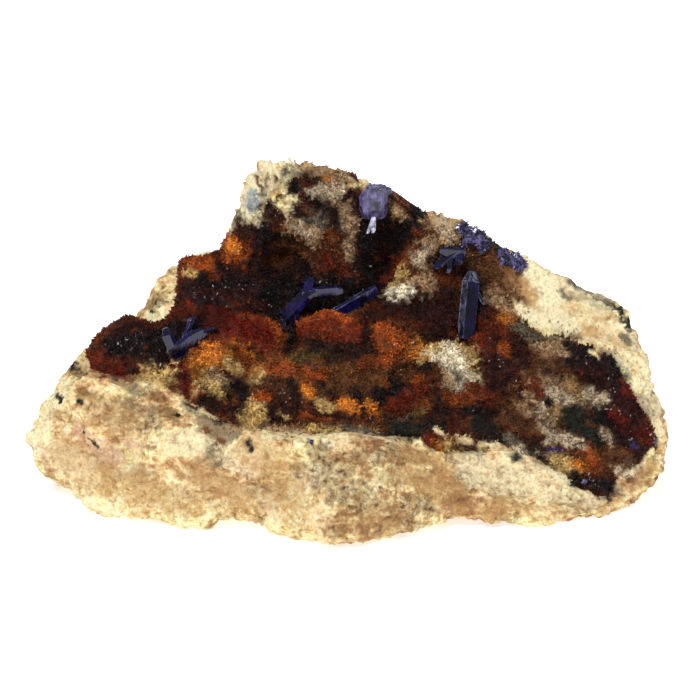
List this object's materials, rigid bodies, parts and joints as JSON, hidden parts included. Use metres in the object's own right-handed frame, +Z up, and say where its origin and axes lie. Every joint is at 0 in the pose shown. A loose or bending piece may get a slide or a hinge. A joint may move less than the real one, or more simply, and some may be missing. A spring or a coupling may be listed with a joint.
{
  "type": "azurite and quartz mineral specimen",
  "caption": "Free-standing mineral specimen: pale rock matrix with an open vug lined by iron-stained quartz crystals and dark blue azurite blades.",
  "frame": {"origin": "on the surface it rests on, below the middle of its overall box", "axes": "+Z up, +X along the block's length to the right as seen from the front, and the open vug faces -Y"},
  "size_m": [0.0914, 0.0488, 0.0465],
  "materials": {
    "matrix": "rough broken rock, cream with tan and dark mottles",
    "quartz": "sparkling small crystals, stained orange, red-brown and near black",
    "azurite": "glassy dark blue crystal faces"
  },
  "bodies": {
    "root": {"matrix_rock": "matrix", "quartz_crust": "quartz", "azurite_left_cluster": "azurite", "azurite_centre_cluster": "azurite", "azurite_right_blade": "azurite", "azurite_long_prism": "azurite", "azurite_upper_cluster": "azurite", "azurite_top_cluster": "azurite", "azurite_ridge_left": "azurite", "azurite_ridge_right": "azurite", "azurite_grain_front": "azurite", "azurite_grain_right": "azurite", "azurite_grain_low": "azurite"}
  },
  "joints": []
}
